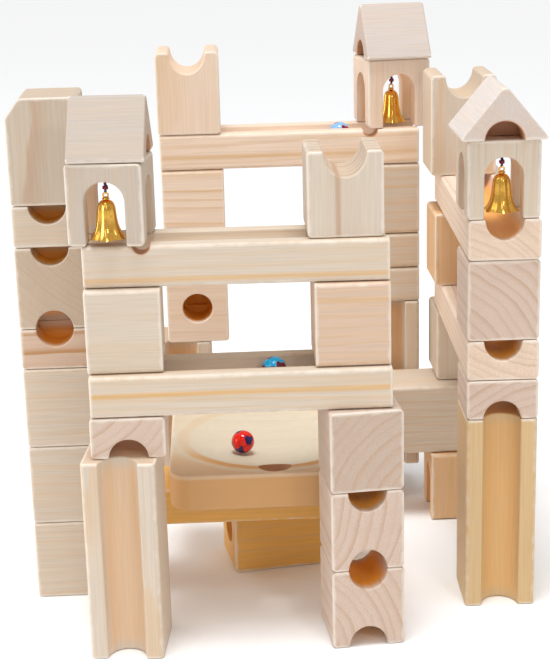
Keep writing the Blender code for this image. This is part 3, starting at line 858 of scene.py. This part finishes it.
def petal(angle, height):
    """How far the bell's skin stands in at an angle: flutes that open into a flower's lip."""
    share = height / BELL_CROWN
    depth = PETAL_DEPTH * (0.35 + 0.65 * math.exp(-5 * share)) * min(1.0, 6 * (1 - min(share, 1.0)))
    return depth * (math.cos(PETALS * (angle - math.pi / 2)) - 1)


def bell_cup(name):
    """A lathe-turned bell whose lip opens like a flower, with a wire loop on its crown."""
    low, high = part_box(name)
    radius = (high.x - low.x) / 2
    heights = [BELL_CROWN * (1 - (step / BELL_RINGS) ** 1.7) for step in range(BELL_RINGS + 1)]
    heights[0] = BELL_CROWN * 0.997
    outside = [(bell_outer(radius, h), h) for h in heights]
    inside = [(bell_outer(radius, h) - BELL_WALL, h + 0.0001) for h in reversed(heights) if h < 0.9 * BELL_CROWN]
    crown = [(0, BELL_CROWN + 0.0016), (0.0012, BELL_CROWN + 0.0015), (0.0017, BELL_CROWN + 0.0010),
             (0.0020, BELL_CROWN + 0.0003)]
    profile = crown + outside + inside + [(0, BELL_CROWN - BELL_WALL)]
    builder = bmesh.new()
    lathe(builder, profile, BELL_SIDES, petal)
    obj = new_object(name + "_brass", builder)
    ring = bmesh.new()
    points = []
    for step in range(28):
        angle = 2 * math.pi * step / 28
        points.append(Vector((LOOP_RADIUS * math.cos(angle), 0, LOOP_RADIUS * math.sin(angle))))
    tube(ring, points, LOOP_WIRE, 12, closed=True)
    top = high.z - low.z
    combine(obj, ring, Matrix.Translation((0, 0, top - LOOP_RADIUS - LOOP_WIRE)), "UNION")
    smooth(obj)
    obj.data.materials.clear()
    obj.data.materials.append(brass(name + "_metal"))
    centre = box_centre(name)
    return take_place(obj, name, centre=Vector((centre.x, centre.y, low.z)))


def clapper(name):
    """A rod with a ball, and a small tip below the ball."""
    low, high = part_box(name)
    ball = (high.x - low.x) / 2
    top = high.z - low.z
    profile = [(0, top), (0.0005, top - 0.0001), (0.0006, top - 0.0006)]
    for step in range(6):
        height = top - (top - 2.2 * ball) * (step + 1) / 6
        profile.append((0.0005, height))
    for step in range(2, 24):
        angle = math.pi * (0.5 - step / 24)
        profile.append((ball * math.cos(angle), ball + ball * math.sin(angle)))
    profile.append((0, 0))
    builder = bmesh.new()
    lathe(builder, profile, 32)
    obj = new_object(name + "_brass", builder)
    smooth(obj)
    obj.data.materials.append(brass(name + "_metal"))
    centre = box_centre(name)
    return take_place(obj, name, centre=Vector((centre.x, centre.y, low.z)))


def string(name):
    """Two threads laid round each other, tied in a small knot above the bell."""
    low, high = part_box(name)
    length = high.z - low.z
    parts = []
    for phase in (0.0, math.pi):
        points = []
        for step in range(49):
            height = length * step / 48
            angle = phase + 2 * math.pi * height / THREAD_LAY
            points.append(Vector((THREAD_RADIUS * 0.95 * math.cos(angle),
                                  THREAD_RADIUS * 0.95 * math.sin(angle), height)))
        parts.append((points, THREAD_RADIUS))
    knot = []
    for step in range(57):
        angle = 4.6 * math.pi * step / 56
        reach = 0.00105 + 0.00012 * math.sin(2.3 * angle)
        knot.append(Vector((reach * math.cos(angle), reach * math.sin(angle),
                            0.0014 + 0.0016 * step / 56 + 0.0002 * math.sin(angle))))
    parts.append((knot, THREAD_RADIUS * 1.05))
    builder = bmesh.new()
    counts = []
    for points, radius in parts:
        tube(builder, points, radius)
        counts.append(len(builder.faces))
    obj = new_object(name + "_thread", builder)
    obj.data.shade_smooth()
    obj.data.materials.append(thread(name + "_maroon", MAROON, (0.33, 0.035, 0.06)))
    obj.data.materials.append(thread(name + "_navy", NAVY, (0.05, 0.07, 0.26)))
    for index, face in enumerate(obj.data.polygons):
        face.material_index = int(counts[0] <= index < counts[1])
    centre = box_centre(name)
    return take_place(obj, name, centre=Vector((centre.x, centre.y, low.z)))


def marble(name, material, lean):
    """A glass ball with a ground flat no wider than a pinhead, where it was cut from the rod."""
    low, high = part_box(name)
    builder = bmesh.new()
    radius = (high.z - low.z) / 2
    bmesh.ops.create_uvsphere(builder, u_segments=64, v_segments=40, radius=radius)
    for vertex in builder.verts:
        vertex.co.z = max(vertex.co.z, -0.994 * radius)
    bmesh.ops.rotate(builder, cent=(0, 0, 0), matrix=Matrix.Rotation(lean, 3, "X"), verts=builder.verts)
    obj = new_object(name + "_glass", builder)
    obj.data.shade_smooth()
    obj.data.materials.append(material)
    return take_place(obj, name)


PINK = {"early": PINK_EARLY, "late": PINK_LATE}
END_GRAIN = {"grain": "Y", "spacing": 0.0056, "bold": 0.66, **PINK}


def front_frame():
    block("front_left_channel", "Z", low=GROOVE, turn=-5.5, grain="Z", pith=(0.010, 0.110, 0), hollow=0.24,
          spacing=0.0058)
    block("front_left_arch_block", "Y", low=HALF_ROUND, **END_GRAIN, pith=(-0.045, 0, 0.050))
    rail("lower_front_rail", RAIL, pith=(0, 0.020, -0.110), spacing=0.0065, streak=("Z", 0.0010), bold=0.45, strength=1.0)
    block("left_spacer_cube", "X", grain="X", pith=(0, 0.12, -0.05), bold=0.22, spacing=0.0075)
    block("right_spacer_cube", "X", grain="X", pith=(0, 0.05, 0.10), bold=0.45, early=ROSY_EARLY,
          streak=("Z", 0.0135), strength=0.55)
    rail("upper_front_rail", RAIL, turn=-1.3, notch_at=0.0310, pith=(0, 0.030, 0.120), spacing=0.0058,
         streak=("Z", -0.0070), bold=0.40, strength=0.75)
    bell_house("front_bell_house", turn=-7, pith=(0.09, 0.06, 0), bold=0.30, early=HOUSE_EARLY)
    roof("front_bell_roof", 0.0405, "X", turn=-4, pith=(0, 0.10, 0.06), bold=0.14, early=ROOF_EARLY)
    block("front_turret", "Y", high=TURRET_GROOVE, hollow=0.03, grain="Z", pith=(0.014, 0.150, 0), spacing=0.0090,
          bold=1.0, late=TURRET_LATE, streak=("X", -0.0040), strength=0.75)
    block("front_right_base_cube", "Y", low=GROOVE, high=GROOVE, turn=5.8, **END_GRAIN, pith=(-0.060, 0, -0.030))
    block("front_right_middle_cube", "Y", low=GROOVE, high=GROOVE, turn=5.8, **END_GRAIN,
          pith=(-0.070, 0, 0.020))
    block("front_right_top_cube", "Y", turn=5.8, **{**END_GRAIN, "early": COLUMN_EARLY}, pith=(0.050, 0, -0.045))


def left_tower():
    faint = {"grain": "X", "bold": 0.35, "spacing": 0.0055}
    block("left_base_cube", "Y", pith=(0, 0.03, 0.11), **faint)
    block("left_lower_cube", "Y", pith=(0, 0.05, -0.12), **faint)
    block("left_middle_cube", "Y", pith=(0, 0.08, 0.10), **faint)
    blind_grooved("left_grooved_half_block", grain="X", early=ROSY_EARLY, late=BROWN_LATE, pith=(0, 0.03, 0.07),
                  spacing=0.0070, bold=1.0)
    blind_grooved("left_grooved_cube", at_foot=True, grain="Y", early=GREY_EARLY, pith=(0.06, 0, 0.07),
                  late=PINK_LATE, bold=0.40)
    blind_grooved("left_upper_half_block", grain="X", bold=0.35)
    cap_block("left_cap_block", grain="Z", pith=(0.02, 0.12, 0), spacing=0.0075, bold=0.75, early=GREY_EARLY,
              late=PINK_LATE)


def tray_group():
    catch_tray("catch_tray", pith=(0, -0.02, -0.075), spacing=0.0085, bold=0.25, early=TRAY_EARLY,
               late=TRAY_GRAIN, tray=True)
    block("tray_support_plank", "X", grain="X", size=(RAIL, MODULE), early=GOLDEN_EARLY)
    support_block("tray_support_block", (0.056, MODULE), 10, grain="X", early=GOLDEN_EARLY, bold=0.8)


def back_frame():
    block("back_left_channel", "Z", low=GROOVE, grain="Z", hollow=0.4)
    drop_hole_cube("drop_hole_cube", grain="X", pith=(0, 0.10, -0.06), bold=0.30, early=PALE_EARLY)
    block("back_left_half_block", "X", grain="X", bold=0.5, early=PALE_EARLY)
    block("back_left_upper_cube", "X", grain="X", pith=(0, 0.04, -0.085), spacing=0.0062, bold=0.80,
          early=PALE_EARLY)
    rail("back_rail", length_of("back_rail"), notch_at=0.1340, pith=(0, 0.02, 0.10), spacing=0.0055, bold=0.60,
         early=PALE_EARLY, streak=("Z", -0.0030), strength=0.7)
    block("back_turret", "Y", high=HORNED_GROOVE, crown=HORN_RADIUS, grain="Z", pith=(0.01, 0.14, 0),
          spacing=0.0070, bold=0.55, early=PALE_EARLY, hollow=0.05)
    bell_house("back_bell_house", turn=9, pith=(0.02, 0.12, 0), bold=0.40, early=PALE_EARLY)
    roof("back_bell_roof", 0.041, "X", turn=7, bold=0.14, early=BACK_ROOF_EARLY)
    block("back_right_base_half_block", "Y", **END_GRAIN)
    block("back_right_channel", "Z", low=GROOVE, grain="Z", hollow=0.4)
    block("back_right_lower_half_block", "X", grain="X")
    block("back_right_middle_half_block", "X", grain="X", bold=0.7)
    block("back_right_upper_cube", "X", grain="X", pith=(0, 0.05, 0.09), bold=0.65, spacing=0.0055)


def right_tower():
    block("right_channel", "Z", low=GROOVE, turn=-1, grain="Z", pith=(-0.01, 0.12, 0), hollow=0.26,
          spacing=0.0060, early=YELLOW_EARLY)
    block("right_arch_block", "Y", low=HALF_ROUND, turn=-1, **END_GRAIN, pith=(0.030, 0, -0.060))
    rail("lower_side_rail", RAIL, "Y", turn=-1.3, early=PALE_EARLY, late=PINK_LATE, pith=(0.030, 0, 0.070), hollow=1.0)
    block("right_tower_cube", "Y", **END_GRAIN, pith=(-0.050, 0, -0.050))
    rail("upper_side_rail", RAIL, "Y", turn=-1.3, early=PALE_EARLY, late=PINK_LATE, pith=(-0.040, 0, -0.060), hollow=0.85)
    bell_house("right_bell_house", pith=(0.10, 0.03, 0), bold=0.40)
    roof("right_bell_roof", 0.050, "Y", blind=True, pith=(0.05, 0, 0.09), bold=0.22, early=GABLE_EARLY)


def far_column():
    block("far_base_block", "X", low=ARCH, grain="Z", pith=(0.02, 0.10, 0), bold=0.85, spacing=0.0060,
          early=TAN_EARLY)
    block("far_cross_block", "X", size=(0.060, MODULE), grain="X", pith=(0, 0.03, -0.10), bold=0.45)
    block("far_lower_cube", "Y", grain="Z", bold=0.6)
    block("far_upper_cube", "Y", grain="Z", bold=0.7, early=TAN_EARLY)
    block("far_turret", "Y", high=HORNED_GROOVE, crown=HORN_RADIUS, grain="Z", pith=(0.02, 0.12, 0),
          spacing=0.0060, bold=0.60, hollow=0.05)


def length_of(name):
    low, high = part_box(name)
    return high.x - low.x


def bells_and_marbles():
    for place in ("front", "back", "right"):
        bell_cup(place + "_bell_cup")
        clapper(place + "_bell_clapper")
        string(place + "_bell_cord")
    marble("red_marble",
           swirled_glass("red_swirl", (0.80, 0.010, 0.004), (0.020, 0.012, 0.110), (0.88, 0.035, 0.010), -0.009), 0.6)
    marble("cyan_marble",
           swirled_glass("cyan_swirl", (0.01, 0.38, 0.74), (0.16, 0.012, 0.035), (0.05, 0.66, 0.90), 0.0030), -0.3)
    marble("blue_marble",
           swirled_glass("blue_swirl", (0.22, 0.45, 0.78), (0.24, 0.012, 0.030), (0.50, 0.72, 0.92), 0.0010), 0.2)


# Studio


def area_light(name, place, target, size, power, colour=(1, 1, 1)):
    lamp = bpy.data.lights.new(name, "AREA")
    lamp.shape = "DISK"
    lamp.size = size
    lamp.energy = power
    lamp.color = colour
    obj = bpy.data.objects.new(name, lamp)
    obj.location = place
    obj.rotation_euler = (Vector(target) - Vector(place)).to_track_quat("-Z", "Y").to_euler()
    bpy.context.scene.collection.objects.link(obj)
    return obj


def soft_sun(name, direction, strength, spread):
    lamp = bpy.data.lights.new(name, "SUN")
    lamp.energy = strength
    lamp.angle = math.radians(spread)
    obj = bpy.data.objects.new(name, lamp)
    obj.rotation_euler = Vector(direction).to_track_quat("-Z", "Y").to_euler()
    bpy.context.scene.collection.objects.link(obj)


def studio():
    """A plain pale floor under plain soft light."""
    builder = bmesh.new()
    bmesh.ops.create_circle(builder, cap_ends=True, segments=64, radius=STUDIO_RADIUS)
    floor = new_object("studio_floor", builder)
    floor.location.z = -0.0002
    if floor.data.polygons[0].normal.z < 0:
        floor.data.flip_normals()
    material, tree, shader = new_material("studio_paper")
    shader.inputs["Base Color"].default_value = (0.97, 0.97, 0.97, 1)
    shader.inputs["Roughness"].default_value = 0.9
    floor.data.materials.append(material)
    world = bpy.data.worlds.new("studio_white")
    world.use_nodes = True
    world.node_tree.nodes["Background"].inputs["Color"].default_value = (0.985, 0.99, 1.0, 1)
    world.node_tree.nodes["Background"].inputs["Strength"].default_value = 0.55
    bpy.context.scene.world = world
    soft_sun("high_soft_light", (0.05, 0.16, -0.98), 1.20, 24)
    soft_sun("low_soft_light", (0.50, 0.62, -0.60), 0.20, 30)
    area_light("left_fill", (-1.7, 0.0, 0.45), (0, 0, 0.14), 1.2, 14.0)
    area_light("inner_fill", (0, -0.20, 1.30), (0.02, 0.08, 0.15), 0.40, 5.0, COOL_WHITE)
    area_light("sparkle", (0.55, -1.35, 1.00), (0, 0, 0.20), 0.22, 2.6)
    bpy.context.scene.view_settings.view_transform = "Standard"


def camera():
    """The photograph's view: from in front, a little to the left and above."""
    yaw, pitch, roll = CAMERA_YAW, CAMERA_PITCH, CAMERA_ROLL
    forward = Vector((math.sin(yaw) * math.cos(pitch), math.cos(yaw) * math.cos(pitch), -math.sin(pitch)))
    right = Vector((math.cos(yaw), -math.sin(yaw), 0))
    up = right.cross(forward)
    tilted_right = right * math.cos(roll) + up * math.sin(roll)
    tilted_up = up * math.cos(roll) - right * math.sin(roll)
    lens = bpy.data.cameras.new("photo_view")
    lens.sensor_fit = "HORIZONTAL"
    lens.sensor_width = 36.0
    lens.lens = CAMERA_LENS
    lens.clip_start = 0.05
    lens.clip_end = 20.0
    obj = bpy.data.objects.new("photo_view", lens)
    turned = Matrix((tilted_right, tilted_up, -forward)).transposed().to_4x4()
    near_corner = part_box("lower_front_rail")[0].to_2d().to_3d()
    obj.matrix_world = Matrix.Translation(near_corner + CAMERA_FROM_RAIL) @ turned
    bpy.context.scene.collection.objects.link(obj)
    bpy.context.scene.camera = obj


front_frame()
left_tower()
tray_group()
back_frame()
right_tower()
far_column()
bells_and_marbles()
studio()
camera()
